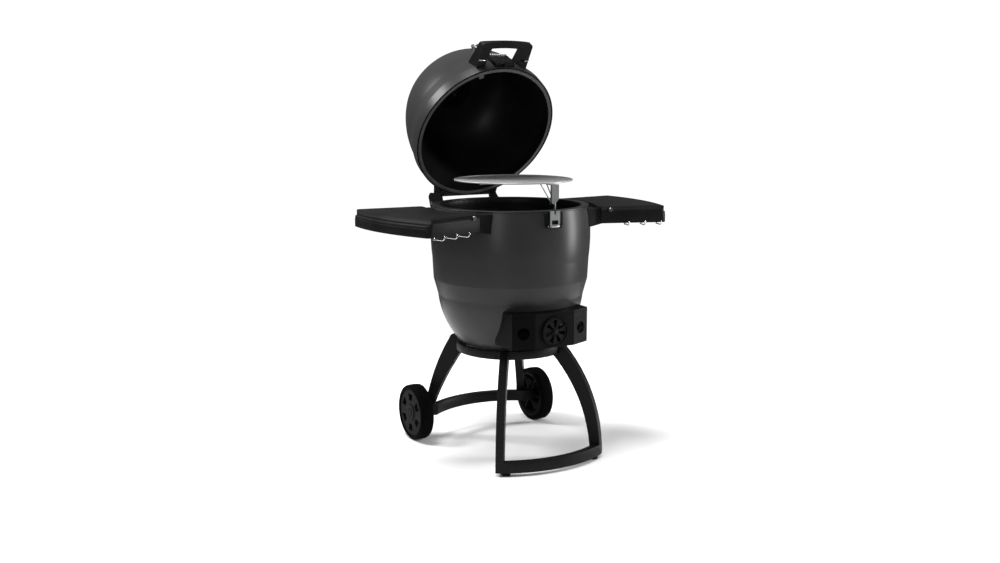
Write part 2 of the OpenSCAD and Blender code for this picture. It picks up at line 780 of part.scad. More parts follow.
module lid_handle() {
    color("#1c1d1f") lid_frame() difference() {
        intersection() {
            // side view: a triangular leg that narrows to the grip
            rotate([90, 0, 90]) translate([0, 0, -120]) linear_extrude(240)
                polygon([[-200, 100], [-223, 91], [-326, 54], [-334, 51], [-338, 48], [-357, 24],
                    [-355, 21], [-236, 24], [-200, 24]]);
            // front view: grip with two broad legs
            translate([0, 0, -20]) linear_extrude(160) difference() {
                polygon(concat(
                    [[-98, -200]], curve3([-98, -332], [-98, -343], [-88, -345], 4),
                    curve3([-88, -345], [0, -369], [88, -345], 10),
                    curve3([88, -345], [98, -343], [98, -332], 4), [[98, -200]]));
                polygon(concat([[-72, -190]], curve3([-64, -314], [-63, -325], [-55, -326], 3),
                    curve3([-55, -326], [0, -332], [55, -326], 6),
                    curve3([55, -326], [63, -325], [64, -314], 3), [[72, -190]]));
            }
        }
        lid_solid(-0.1);
        translate([0, rod_y, rod_a]) along_x(-130, 130, rod_r + fit);
    }
}
module handle_rod() {
    color("#c9ccd0") lid_frame() for (side = [-1, 1]) {
        side_of(side) translate([0, rod_y, rod_a]) along_x(80, 99, rod_r);
    }
}
module lid_striker() {
    color("#2b2d2f") lid_frame() difference() {
        union() {
            translate([-38, -276, 8]) cube([76, 40, 58]);
            translate([-6, -283, -1]) cube([12, 15.5, 12]);
            translate([0, -272, 70]) along_x(-34, 34, 6);
        }
        lid_solid(-0.1);
    }
}
thermo_a = 178;
thermo_r = 39;
thermo_tilt = 18;
thermo_y = -231;
// Draws its children with +Z standing out of the lid's front at the thermometer
module on_dome() {
    translate([0, thermo_y, thermo_a]) rotate([90 - thermo_tilt, 0, 0]) children();
}
module thermometer_case() {
    color("#aeb2b6") lid_frame() difference() {
        on_dome() union() {
            translate([0, 0, -14]) cylinder(h = 26, r = thermo_r - 3);
            translate([0, 0, 10]) cylinder(h = 6, r1 = thermo_r - 2, r2 = thermo_r);
            translate([0, 0, 16]) cylinder(h = 2, r1 = thermo_r, r2 = thermo_r - 3);
        }
        on_dome() translate([0, 0, 11]) cylinder(h = 10, r = thermo_r - 6);
        lid_solid(-0.1);
    }
}
module thermometer_needle() {
    color("#c83a2a") lid_frame() on_dome() {
        translate([0, 0, 11 + air]) cylinder(h = 2, r = 4);
        translate([-1, -6, 11.8]) cube([2, 32, 0.9]);
    }
}
module thermometer_glass() {
    color("#dfe9ee", 0.35) lid_frame() on_dome() translate([0, 0, 14.2])
        cylinder(h = 1.6, r = thermo_r - 6.1);
}
vent_slots = 6;
module vent_slot_shape() {
    intersection() {
        difference() {
            circle(r = 42);
            circle(r = 16);
        }
        union() for (i = [0:vent_slots - 1]) wedge(60 * i - 14, 60 * i + 14, 70);
    }
}
module vent_base() {
    color("#232426") lid_frame() {
        difference() {
            union() {
                // ring on the dome, neck through the wall and clamping disc under the liner
                difference() {
                    translate([0, 0, lid_h - 6]) cylinder(h = 11, r = 62);
                    lid_solid(-0.1);
                }
                translate([0, 0, lid_h - lid_wall - 8]) cylinder(h = lid_wall + 9, r = vent_hole - 0.1);
                intersection() {
                    translate([0, 0, lid_h - lid_wall - 12]) cylinder(h = 20, r = 72);
                    lid_solid(lid_wall + 0.2);
                }
            }
            translate([0, 0, lid_h - 40]) linear_extrude(60) vent_slot_shape();
            translate([0, 0, lid_h - 25]) cylinder(h = 40, r = 4 + fit);
        }
    }
}
module vent_cap() {
    color("#232426") lid_frame() translate([0, 0, lid_h + 5 + air]) {
        difference() {
            union() {
                rotate_extrude() polygon(concat([[0, 0], [58, 0]], curve3([60, 2], [58, 14], [20, 18], 6),
                    [[0, 18]]));
                rotate([0, 0, 30]) translate([-26, -4, 14]) cube([52, 8, 16]);
            }
            translate([0, 0, -1]) linear_extrude(40) vent_slot_shape();
        }
        translate([0, 0, -20]) cylinder(h = 22, r = 4);
    }
}

body_shell();
body_insulation();
body_liner();
body_rim();
stand_ring();
front_leg(-1);  // front_leg_left
front_leg(1);  // front_leg_right
rear_leg(-1);  // rear_leg_left
rear_leg(1);  // rear_leg_right
front_bar();
rear_bar();
feet();
axle_bolts();
frame_bolts();
shelf_bracket(-1);  // shelf_bracket_left
shelf_bracket(1);  // shelf_bracket_right
latch_base();
latch_pin();
liner_brackets();
charcoal_grate();
cooking_grid();
rack_socket();
hinge_bracket();
hinge_rods();
shelf(-1);  // shelf_left
shelf(1);  // shelf_right
hooks(-1);  // hooks_left
hooks(1);  // hooks_right
shelf_pins(-1);  // shelf_pins_left
shelf_pins(1);  // shelf_pins_right
latch_lever();
damper_housing();
ash_pan();
damper_rivet();
damper_disc();
clamp_knob(-1);  // clamp_knob_left
clamp_knob(1);  // clamp_knob_right
tyre(-1);  // tyre_left
wheel_hub(-1);  // wheel_hub_left
hub_cap(-1);  // hub_cap_left
tyre(1);  // tyre_right
wheel_hub(1);  // wheel_hub_right
hub_cap(1);  // hub_cap_right
rack_grid();
rack_braces();
rack_post();
lid_shell();
lid_insulation();
lid_liner();
lid_flange();
lid_gasket();
lid_handle();
handle_rod();
lid_striker();
lid_hinge_arm();
thermometer_case();
thermometer_needle();
thermometer_glass();
vent_base();
vent_cap();
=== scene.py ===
"""Looks of the barrel charcoal grill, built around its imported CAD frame."""

import json
import math

import bmesh
import bpy
from mathutils import Matrix, Vector


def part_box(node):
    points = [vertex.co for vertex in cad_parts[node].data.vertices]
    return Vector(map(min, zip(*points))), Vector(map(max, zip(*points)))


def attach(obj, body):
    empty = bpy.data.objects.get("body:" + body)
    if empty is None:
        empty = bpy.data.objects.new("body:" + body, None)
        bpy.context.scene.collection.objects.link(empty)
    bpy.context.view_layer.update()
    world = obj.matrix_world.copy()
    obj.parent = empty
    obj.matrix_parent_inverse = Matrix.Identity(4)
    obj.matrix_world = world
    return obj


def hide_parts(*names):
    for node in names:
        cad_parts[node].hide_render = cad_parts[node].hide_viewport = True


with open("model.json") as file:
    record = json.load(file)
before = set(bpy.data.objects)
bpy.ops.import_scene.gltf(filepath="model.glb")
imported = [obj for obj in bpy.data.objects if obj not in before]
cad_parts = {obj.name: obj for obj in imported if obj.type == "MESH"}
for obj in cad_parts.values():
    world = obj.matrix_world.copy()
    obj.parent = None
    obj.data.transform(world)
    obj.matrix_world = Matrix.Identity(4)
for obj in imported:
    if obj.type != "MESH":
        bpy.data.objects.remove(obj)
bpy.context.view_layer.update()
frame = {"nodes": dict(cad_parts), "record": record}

NODES = frame["nodes"]
JOINTS = {joint["name"]: joint for joint in frame["record"]["behaviour"]["joints"]}

# ---- Places taken from the frame ----
RIM_LOW, RIM_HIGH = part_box("body_rim")
AXIS_Y = (RIM_LOW[1] + RIM_HIGH[1]) / 2          # the keg's vertical axis
RIM_Z = RIM_HIGH[2]
RIM_R = (RIM_HIGH[0] - RIM_LOW[0]) / 2 - 0.0008
HINGE = Vector(JOINTS["lid_hinge"]["pos_m"])
LID_OPEN = math.radians(-JOINTS["lid_hinge"]["range_deg"][0])
LID_GAP = 0.003
RIM_T = 0.005
WALL = 0.026
SKIN = 0.0015
LID_WALL = 0.017
LID_R = 0.2665
LID_H = 0.320
VENT_HOLE = 0.048
PIVOT_FRONT, PIVOT_REAR = Vector((0.266, -0.218, 0.856)), Vector((0.300, 0.134, 0.856))
BOSS_R, BOSS_DEPTH = 0.009, 0.008
STRIKER_BAR = (0, -0.272, 0.070)
THERMOMETER, THERMOMETER_TURN = (0, -0.231, 0.178), 72
SHARP_ANGLE = 35


def keg_matrix():
    """Places a piece drawn from the keg's own axis in the row frame."""
    return Matrix.Translation((0, AXIS_Y, 0))


def lid_matrix():
    """Turns a piece drawn on the closed lid, from its rim up, to where the open lid stands."""
    return (Matrix.Translation(HINGE) @ Matrix.Rotation(-LID_OPEN, 4, "X") @ Matrix.Translation(-HINGE)
            @ Matrix.Translation((0, AXIS_Y, RIM_Z + LID_GAP)))


# ---- Mesh helpers ----
def bez3(a, b, c, t):
    return tuple((1 - t) ** 2 * p + 2 * t * (1 - t) * q + t * t * r for p, q, r in zip(a, b, c))


def bez4(a, b, c, d, t):
    return tuple((1 - t) ** 3 * p + 3 * t * (1 - t) ** 2 * q + 3 * t * t * (1 - t) * r + t ** 3 * s
                 for p, q, r, s in zip(a, b, c, d))


def curve(points, steps):
    """Points along a quadratic or cubic curve through its control points."""
    bez = bez3 if len(points) == 3 else bez4
    return [bez(*points, i / steps) for i in range(steps + 1)]


def finish_mesh(name, bm, body, material, replaced=(), matrix=None, sharp=SHARP_ANGLE):
    """Turns a bmesh into a smooth-shaded piece that rides on a body."""
    bmesh.ops.remove_doubles(bm, verts=bm.verts, dist=1e-7)
    bmesh.ops.recalc_face_normals(bm, faces=bm.faces)
    mesh = bpy.data.meshes.new(name)
    bm.to_mesh(mesh)
    bm.free()
    if matrix is not None:
        mesh.transform(matrix)
    for polygon in mesh.polygons:
        polygon.use_smooth = True
    mesh.set_sharp_from_angle(angle=math.radians(sharp))
    piece = bpy.data.objects.new(name, mesh)
    bpy.context.scene.collection.objects.link(piece)
    mesh.materials.append(material)
    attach(piece, body)
    if replaced:
        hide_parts(*replaced)
    return piece


def revolve(profile, segments=192):
    """A closed profile of (radius, height) points turned about Z."""
    bm = bmesh.new()
    rings = []
    for radius, height in profile:
        if radius < 1e-6:
            rings.append([bm.verts.new((0, 0, height))] * segments)
        else:
            rings.append([bm.verts.new((radius * math.cos(2 * math.pi * i / segments),
                                        radius * math.sin(2 * math.pi * i / segments), height))
                          for i in range(segments)])
    for k, ring in enumerate(rings):
        after = rings[(k + 1) % len(rings)]
        for i in range(segments):
            j = (i + 1) % segments
            corners = []
            for vert in (ring[i], ring[j], after[j], after[i]):
                if vert not in corners:
                    corners.append(vert)
            if len(corners) > 2:
                bm.faces.new(corners)
    return bm


def soften(piece, width=0.0012, segments=2):
    """Welds a tessellated piece and rounds its sharp edges."""
    weld = piece.modifiers.new("weld", "WELD")
    weld.merge_threshold = 1e-5
    bevel = piece.modifiers.new("round", "BEVEL")
    bevel.width = width
    bevel.segments = segments
    bevel.limit_method = "ANGLE"
    bevel.angle_limit = math.radians(SHARP_ANGLE)
    bevel.harden_normals = True
    bevel.use_clamp_overlap = True


# ---- Materials ----
def shader(name, color, roughness, metallic=0.0, specular=0.5, coat=0.0):
    material = bpy.data.materials.new(name)
    material.use_nodes = True
    bsdf = material.node_tree.nodes["Principled BSDF"]
    bsdf.inputs["Base Color"].default_value = (*color, 1)
    bsdf.inputs["Roughness"].default_value = roughness
    bsdf.inputs["Metallic"].default_value = metallic
    bsdf.inputs["Specular IOR Level"].default_value = specular
    bsdf.inputs["Coat Weight"].default_value = coat
    bsdf.inputs["Coat Roughness"].default_value = 0.25
    return material, material.node_tree, bsdf


def object_noise(tree, scale, detail=4.0, stretch=(1, 1, 1), roughness=0.55):
    """Noise in the piece's own coordinates, in metres."""
    place = tree.nodes.new("ShaderNodeTexCoord")
    mapping = tree.nodes.new("ShaderNodeMapping")
    mapping.inputs["Scale"].default_value = stretch
    noise = tree.nodes.new("ShaderNodeTexNoise")
    noise.inputs["Scale"].default_value = scale
    noise.inputs["Detail"].default_value = detail
    noise.inputs["Roughness"].default_value = roughness
    tree.links.new(place.outputs["Object"], mapping.inputs["Vector"])
    tree.links.new(mapping.outputs["Vector"], noise.inputs["Vector"])
    return noise.outputs["Fac"]


def ramp(tree, source, low, high, start=0.35, end=0.65):
    """Maps a texture to colours or greys between low and high."""
    node = tree.nodes.new("ShaderNodeValToRGB")
    node.color_ramp.elements[0].position = start
    node.color_ramp.elements[1].position = end
    node.color_ramp.elements[0].color = (*low, 1)
    node.color_ramp.elements[1].color = (*high, 1)
    tree.links.new(source, node.inputs["Fac"])
    return node.outputs["Color"]


def spread(tree, source, low, high):
    """Maps a texture to a range of numbers."""
    node = tree.nodes.new("ShaderNodeMapRange")
    node.inputs["From Min"].default_value = 0.3
    node.inputs["From Max"].default_value = 0.7
    node.inputs["To Min"].default_value = low
    node.inputs["To Max"].default_value = high
    tree.links.new(source, node.inputs["Value"])
    return node.outputs["Result"]


def bump(tree, bsdf, source, distance, strength=1.0):
    node = tree.nodes.new("ShaderNodeBump")
    node.inputs["Strength"].default_value = strength
    node.inputs["Distance"].default_value = distance
    tree.links.new(source, node.inputs["Height"])
    tree.links.new(node.outputs["Normal"], bsdf.inputs["Normal"])


def finish_material(name, color, vary, roughness, rough_vary, scale, grain, depth, **surface):
    """A painted, moulded or plated finish: colour and gloss vary slowly, with a fine grain in relief."""
    material, tree, bsdf = shader(name, color, roughness, **surface)
    slow = object_noise(tree, scale, 5.0)
    darker = tuple(c * (1 - vary) for c in color)
    lighter = tuple(c * (1 + vary) for c in color)
    tree.links.new(ramp(tree, slow, darker, lighter), bsdf.inputs["Base Color"])
    tree.links.new(spread(tree, slow, roughness - rough_vary, roughness + rough_vary),
                   bsdf.inputs["Roughness"])
    bump(tree, bsdf, object_noise(tree, grain, 3.0), depth, 0.6)
    return material


def brushed(name, color, roughness, stretch, depth=0.00002):
    """Steel with fine lines along one direction."""
    material, tree, bsdf = shader(name, color, roughness, metallic=1.0)
    lines = object_noise(tree, 260, 6.0, stretch, 0.7)
    tree.links.new(ramp(tree, lines, tuple(c * 0.86 for c in color), color, 0.3, 0.7),
                   bsdf.inputs["Base Color"])
    tree.links.new(spread(tree, lines, roughness - 0.06, roughness + 0.08), bsdf.inputs["Roughness"])
    bump(tree, bsdf, lines, depth, 0.5)
    return material


def glass_material():
    material, tree, bsdf = shader("clear_glass", (0.95, 0.97, 0.98), 0.04, specular=0.5)
    bsdf.inputs["Transmission Weight"].default_value = 1.0
    bsdf.inputs["IOR"].default_value = 1.45
    tree.links.new(spread(tree, object_noise(tree, 60, 2.0), 0.02, 0.06), bsdf.inputs["Roughness"])
    return material


MATERIALS = {
    "enamel": finish_material("charcoal_enamel", (0.033, 0.0333, 0.0345), 0.05, 0.33, 0.02, 6, 1400, 0.00002,
                              specular=0.15, coat=0.02),
    "enamel_dark": finish_material("black_enamel", (0.0060, 0.0060, 0.0060), 0.2, 0.42, 0.05, 9, 900, 0.00005,
                                   specular=0.22),
    "insulation": finish_material("mineral_wool", (0.60, 0.55, 0.46), 0.2, 0.95, 0.03, 40, 600, 0.0008,
                                  specular=0.1),
    "rim": finish_material("rim_enamel", (0.010, 0.010, 0.0105), 0.15, 0.40, 0.04, 10, 1000, 0.00004,
                           specular=0.3),
    "frame_paint": finish_material("powder_coat", (0.0030, 0.0030, 0.0031), 0.2, 0.46, 0.05, 14, 1500,
                                   0.00006, specular=0.13),
    "resin": finish_material("grained_resin", (0.0095, 0.0095, 0.0098), 0.18, 0.48, 0.05, 12, 1800, 0.00010,
                             specular=0.07),
    "hub_plastic": finish_material("hub_plastic", (0.0050, 0.0050, 0.0053), 0.15, 0.45, 0.05, 14, 1600,
                                   0.00009, specular=0.025),
    "tyre": finish_material("tyre_rubber", (0.0022, 0.0022, 0.0022), 0.25, 0.62, 0.06, 25, 900, 0.00012,
                            specular=0.012),
    "rubber": finish_material("foot_rubber", (0.003, 0.003, 0.003), 0.2, 0.65, 0.05, 25, 900, 0.0001,
                              specular=0.1),
    "stainless": brushed("brushed_stainless", (0.56, 0.57, 0.58), 0.34, (1, 1, 14)),
    "chrome": finish_material("chrome_plate", (0.66, 0.66, 0.67), 0.04, 0.16, 0.03, 30, 700, 0.00001,
                              metallic=1.0),
    "zinc": finish_material("zinc_plate", (0.10, 0.10, 0.105), 0.12, 0.42, 0.06, 60, 900, 0.00003,
                            metallic=1.0),
    "cast_iron": finish_material("cast_iron", (0.006, 0.006, 0.006), 0.25, 0.60, 0.06, 50, 700, 0.0003,
                                 specular=0.2),
    "flange": finish_material("flange_metal", (0.075, 0.075, 0.076), 0.06, 0.45, 0.04, 20, 900, 0.00003,
                              metallic=0.3, specular=0.3),
    "gasket": finish_material("gasket_rope", (0.002, 0.002, 0.002), 0.3, 0.9, 0.04, 200, 1200, 0.0004,
                              specular=0.05),
    "pan_steel": finish_material("galvanised_sheet", (0.30, 0.30, 0.31), 0.2, 0.45, 0.08, 70, 500, 0.00004,
                                 metallic=0.9),
    "bezel": brushed("bezel_steel", (0.42, 0.43, 0.44), 0.30, (1, 1, 1)),
    "needle": finish_material("needle_paint", (0.45, 0.03, 0.02), 0.06, 0.35, 0.03, 60, 900, 0.00002),
    "cast_black": finish_material("cast_paint", (0.0030, 0.0030, 0.0031), 0.2, 0.46, 0.05, 30, 1100, 0.00010,
                                  specular=0.10),
    "glass": glass_material(),
    "dial": finish_material("dial_white", (0.78, 0.78, 0.76), 0.03, 0.4, 0.03, 40, 900, 0.00001),
    "print_ink": finish_material("scale_ink", (0.01, 0.01, 0.01), 0.1, 0.5, 0.03, 80, 900, 0.00001),
}
# Finishes that differ a little from their slot's on one or two nodes
VARIANTS = {
    "damper_housing": finish_material("housing_resin", (0.0016, 0.0016, 0.0017), 0.18, 0.50, 0.05, 12, 1800,
                                      0.00010, specular=0.07),
    "rack_grid": finish_material("rack_wire", (0.46, 0.46, 0.465), 0.04, 0.42, 0.04, 30, 700, 0.00001,
                                 metallic=0.35, specular=0.5),
    "rack_post": brushed("post_steel", (0.30, 0.305, 0.31), 0.40, (1, 1, 14)),
    "clamp_knob_left": finish_material("knob_black", (0.0006, 0.0006, 0.0006), 0.2, 0.5, 0.05, 14, 1600,
                                       0.00008, specular=0.015),
    "damper_rivet": finish_material("blackened_rivet", (0.010, 0.010, 0.0105), 0.15, 0.5, 0.05, 60, 900,
                                    0.00003, metallic=0.4, specular=0.2),
    "rack_braces": finish_material("brace_wire", (0.11, 0.11, 0.115), 0.08, 0.40, 0.05, 40, 800, 0.00001,
                                   metallic=0.9),
    "frame_bolts": finish_material("painted_bolts", (0.0040, 0.0040, 0.0041), 0.2, 0.45, 0.05, 60, 1200,
                                   0.00004, specular=0.12),
    # painted shade: the ash pan's colour is darkened so that the damper's slots read dark, standing in for
    # the shade inside the closed body
    "ash_pan": finish_material("pan_sheet_painted_shade", (0.030, 0.029, 0.028), 0.25, 0.60, 0.08, 50, 500, 0.00006,
                               metallic=0.5, specular=0.2),
}
VARIANTS["clamp_knob_right"] = VARIANTS["clamp_knob_left"]
SLOT_OF = {entry["node"]: entry["material_slot"] for entry in frame["record"]["subparts"]}

for node, thing in NODES.items():
    thing.data.materials.clear()
    thing.data.materials.append(VARIANTS.get(node) or MATERIALS[SLOT_OF[node]])
    soften(thing)


# ---- Body and lid: turned shells with rounded creases ----
def eased(profile, creases, reach=0.0016):
    """Cuts the named corners of a profile short on both sides, which rounds them when shaded smooth."""
    out = []
    for i, point in enumerate(profile):
        if i in creases:
            here = Vector(point)
            for other in (profile[i - 1], profile[i + 1]):
                toward = Vector(other) - here
                out.append(tuple(here + toward.normalized() * min(reach, 0.4 * toward.length)))
        else:
            out.append(point)
    return out


def body_profile(d):
    """Radius and height of the body from its rim down, moved inwards by d."""
    barrel = curve([(RIM_R - d, RIM_Z - RIM_T), (RIM_R + 0.0135 - d, RIM_Z - 0.091),
                    (RIM_R + 0.0024 - d, 0.690)], 24)
    bands = [(0.2685 - d, 0.617)]
    bowl = curve([(0.2533 - d, 0.562), (0.243 - d, 0.465 + 0.25 * d), (0.173 - 0.7 * d, 0.388 + 0.8 * d)], 24)
    outline = barrel + bands + bowl + [(0.118, 0.366 + d), (0, 0.366 + d)]
    return eased(outline, (24, 25, 26, 50, 51))


SHOULDER_LOW, SHOULDER_LENGTH = 0.080, 0.150


def lid_profile(d, foot, shoulder=0, inner=VENT_HOLE):
    """Radius and height of the lid from its rim up to the vent's hole, moved inwards by d. A shoulder
    swells the start of the dome outwards, so that the conical stripe under it reads as a stripe."""
    dome = []
    for radius, height in curve([(0.2575 - d, SHOULDER_LOW), (0.229 - d, 0.236), (0.200 - 0.8 * d, LID_H - d),
                                 (0, LID_H - d)], 48):
        up = min(1, (height - SHOULDER_LOW) / SHOULDER_LENGTH)
        dome.append((radius + shoulder * math.sin(math.pi * up) * (1 - up), height))
    dome = [point for point in dome if point[0] > inner] + [(inner, LID_H - d)]
    return eased([(LID_R - d, foot), (0.2675 - d, 0.036)] + dome, (1, 2))


def cut_box(piece, low, high):
    """Cuts a box out of a piece."""
    bm = bmesh.new()
    bmesh.ops.create_cube(bm, size=1)
    middle = (Vector(low) + Vector(high)) / 2
    size = Vector(high) - Vector(low)
    bm.transform(Matrix.Translation(middle) @ Matrix.Diagonal((*size, 1)))
    mesh = bpy.data.meshes.new("cutter")
    bm.to_mesh(mesh)
    bm.free()
    cutter = bpy.data.objects.new("cutter", mesh)
    bpy.context.scene.collection.objects.link(cutter)
    cut = piece.modifiers.new("cut", "BOOLEAN")
    cut.operation = "DIFFERENCE"
    cut.solver = "EXACT"
    cut.object = cutter
    bpy.context.view_layer.update()
    done = bpy.data.meshes.new_from_object(piece.evaluated_get(bpy.context.evaluated_depsgraph_get()))
    piece.modifiers.clear()
    piece.data = done
    bpy.data.objects.remove(cutter)
    for polygon in done.polygons:
        polygon.use_smooth = True
    done.set_sharp_from_angle(angle=math.radians(SHARP_ANGLE))


DRAWER_LOW, DRAWER_HIGH = (-0.094, AXIS_Y - 0.320, 0.424), (0.094, AXIS_Y - 0.100, 0.486)
body = finish_mesh("body", revolve(body_profile(0) + body_profile(SKIN)[::-1]), "stand", MATERIALS["enamel"],
                   ("body_shell",), keg_matrix())
cut_box(body, DRAWER_LOW, DRAWER_HIGH)

LID_SHOULDER = 0.0045
LINER_FOOT = 0.004
LID_INSET = 0.0001          # keeps the skin just inside its CAD solid
finish_mesh("lid", revolve(lid_profile(LID_INSET, 0, LID_SHOULDER)
                           + lid_profile(SKIN, 0, LID_SHOULDER)[::-1]),
            "lid", MATERIALS["enamel"], ("lid_shell",), lid_matrix())
finish_mesh("lid_lining", revolve(lid_profile(LID_WALL - SKIN, LINER_FOOT)
                                  + lid_profile(LID_WALL, LINER_FOOT)[::-1]),
            "lid", MATERIALS["enamel_dark"], ("lid_liner",), lid_matrix())


def ring_section(inner, outer, low, high, edge, steps=4):
    """The closed profile of a ring with rounded edges."""
    points = []
    for cx, cz, start in ((outer - edge, low + edge, -90), (outer - edge, high - edge, 0),
                          (inner + edge, high - edge, 90), (inner + edge, low + edge, 180)):
        for i in range(steps + 1):
            turn = math.radians(start + 90 * i / steps)
            points.append((cx + edge * math.cos(turn), cz + edge * math.sin(turn)))
    return points


finish_mesh("rim", revolve(ring_section(RIM_R - WALL, RIM_R + 0.0008, RIM_Z - RIM_T, RIM_Z, 0.0017)),
            "stand", MATERIALS["rim"], ("body_rim",), keg_matrix())
finish_mesh("gasket", revolve(ring_section(0.2615, LID_R - SKIN - 0.0001, -0.002, 0.0045, 0.0012)),
            "lid", MATERIALS["gasket"], ("lid_gasket",), lid_matrix())


# ---- Shelves: a moulded top with a sloped border over a skirt with a ledge ----
FRONT_IN, FRONT_OUT = Vector((0.238, -0.2085)), Vector((0.441, -0.280))
REAR_OUT, REAR_IN = Vector((0.523, 0.145)), Vector((0.286, 0.127))
SHELF_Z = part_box("shelf_left")[1][2]
SKIRT_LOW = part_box("shelf_left")[0][2]
SHELF_WALL = 0.0035
GAP_R = 0.297
FRONT_DIR = (FRONT_OUT - FRONT_IN).normalized()
FRONT_NORMAL = Vector((FRONT_DIR.y, -FRONT_DIR.x))


def shelf_edge(side, end):
    """From the rear inner corner round the outer edge to the front inner corner, moved inwards by
    side along the outer edge and by end along the two straight ends."""
    f_in = FRONT_IN - end * FRONT_NORMAL
    f_out = FRONT_OUT - end * FRONT_NORMAL - 0.3 * side * FRONT_DIR
    knee = (0.467 - side, -0.262 + 0.6 * end)
    r_out = (REAR_OUT.x - side, REAR_OUT.y - end)
    r_in = (REAR_IN.x, REAR_IN.y - end)
    r_turn = (r_out[0] - 0.010, r_out[1] - 0.0008)
    r_after = (r_out[0] + 0.0006, r_out[1] - 0.010)
    points = [r_in, (r_in[0] + 0.08, r_in[1] + 0.0061)] + curve([r_turn, r_out, r_after], 4)
    points += curve([r_after, (0.551 - side, -0.060), knee], 28)[1:]
    points += curve([knee, (0.461 - side, -0.284 + end), tuple(f_out)], 6)[1:]
    return points + [tuple((f_in + f_out) / 2), tuple(f_in)]


def shelf_loop(side, end, gap, steps=28):
    """The shelf's closed outline; its side towards the body keeps gap from the body's arc."""
    edge = shelf_edge(side, end)
    a, b = Vector(edge[-1]), Vector(edge[0])
    inner = []
    for i in range(1, steps):
        point = a.lerp(b, i / steps)
        reach = GAP_R + gap
        inner.append(tuple(point if point.length > reach else point.normalized() * reach))
    return edge + inner


def stack(bm, loops, closed=True):
    """Joins loops of 3D points, each to the next, with quads."""
    rows = [[bm.verts.new(point) for point in loop] for loop in loops]
    for low, high in zip(rows, rows[1:]):
        count = len(low)
        for i in range(count if closed else count - 1):
            j = (i + 1) % count
            bm.faces.new((low[i], low[j], high[j], high[i]))
    return rows


def at_height(points, z):
    return [(x, y, z) for x, y in points]


def shelf(side_name, body_name):
    name = "shelf_" + side_name
    bm = bmesh.new()
    under = SHELF_Z - SHELF_WALL
    top_steps = ((0.0072, 0.0, 0.0, under), (0.0072, 0.0, 0.0, SHELF_Z - 0.0030),
                 (0.0080, 0.0006, 0.0006, SHELF_Z - 0.0018), (0.0096, 0.0022, 0.0022, SHELF_Z - 0.0012),
                 (0.0200, 0.0150, 0.0110, SHELF_Z - 0.0016), (0.0215, 0.0165, 0.0125, SHELF_Z - 0.0006),
                 (0.0235, 0.0185, 0.0145, SHELF_Z))
    rows = stack(bm, [at_height(shelf_loop(side, end, gap), z) for side, end, gap, z in top_steps])
    bm.faces.new(rows[0])
    bm.faces.new(rows[-1])
    w = SHELF_WALL
    ledge = SHELF_Z - 0.0200
    skirt = ((w, w, SKIRT_LOW), (0.0006, 0.0006, SKIRT_LOW), (0.0, 0.0, SKIRT_LOW + 0.0012),
             (0.0, 0.0, ledge - 0.0110), (0.0012, 0.0, ledge - 0.0100), (0.0012, 0.0, ledge - 0.0030),
             (0.0030, 0.0, ledge - 0.0008), (0.0064, 0.0, ledge), (0.0072, 0.0, ledge + 0.0008),
             (0.0072, 0.0, under + 0.0005), (0.0072 + w, w, under + 0.0005), (0.0072 + w, w, ledge - w),
             (w, w, ledge - 2 * w))
    rows = stack(bm, [at_height(shelf_edge(side, end), z) for side, end, z in skirt + skirt[:1]], False)
    for end in (0, -1):
        bm.faces.new([row[end] for row in rows[:-1]])
    along = (PIVOT_REAR - PIVOT_FRONT).normalized()
    for start in (PIVOT_FRONT, PIVOT_REAR - along * 1.5 * BOSS_DEPTH):
        turn = along.to_track_quat("Z", "Y").to_matrix().to_4x4()
        place = Matrix.Translation(start + along * BOSS_DEPTH / 2) @ turn
        bmesh.ops.create_cone(bm, cap_ends=True, segments=48, radius1=BOSS_R, radius2=BOSS_R,
                              depth=BOSS_DEPTH, matrix=place)
    if side_name == "left":
        bm.transform(Matrix.Diagonal((-1, 1, 1, 1)))
    finish_mesh(name, bm, body_name, MATERIALS["resin"], (name,), keg_matrix(), sharp=40)


for side_name, body_name in (("left", "shelf_l"), ("right", "shelf_r")):
    shelf(side_name, body_name)


# ---- Handle: ribs under the grip ----
def boxes(places, size):
    bm = bmesh.new()
    for place in places:
        bmesh.ops.create_cube(bm, size=1, matrix=Matrix.Translation(place) @ Matrix.Diagonal((*size, 1)))
    return bm


GRIP = [curve([(-0.055, -0.326), (0, -0.332), (0.055, -0.326)], 22)[i] for i in range(1, 22)]
ribs = finish_mesh("grip_ribs", boxes([(x, y + 0.0004, 0.0345) for x, y in GRIP], (0.0026, 0.0030, 0.0230)),
                   "lid", MATERIALS["resin"], (), lid_matrix())
soften(ribs, 0.0006, 2)

# ---- Striker: a ribbed steel sleeve round the bar on its block ----
def sleeve_profile(half_length, crest, groove, ribs):
    points = [(0.0052, half_length), (0.0052, -half_length)]
    pitch = 2 * half_length / ribs
    for i in range(ribs):
        low = -half_length + i * pitch
        points += [(groove, low), (crest, low + 0.2 * pitch), (crest, low + 0.8 * pitch)]
    return points + [(groove, half_length)]


finish_mesh("striker_sleeve", revolve(sleeve_profile(0.031, 0.0078, 0.0064, 7), 48), "lid",
            MATERIALS["stainless"], (),
            lid_matrix() @ Matrix.Translation(STRIKER_BAR) @ Matrix.Rotation(math.radians(90), 4, "Y"))

# ---- Thermometer dial: a white plate with a printed scale ----
DIAL = (lid_matrix() @ Matrix.Translation(THERMOMETER)
        @ Matrix.Rotation(math.radians(THERMOMETER_TURN), 4, "X"))


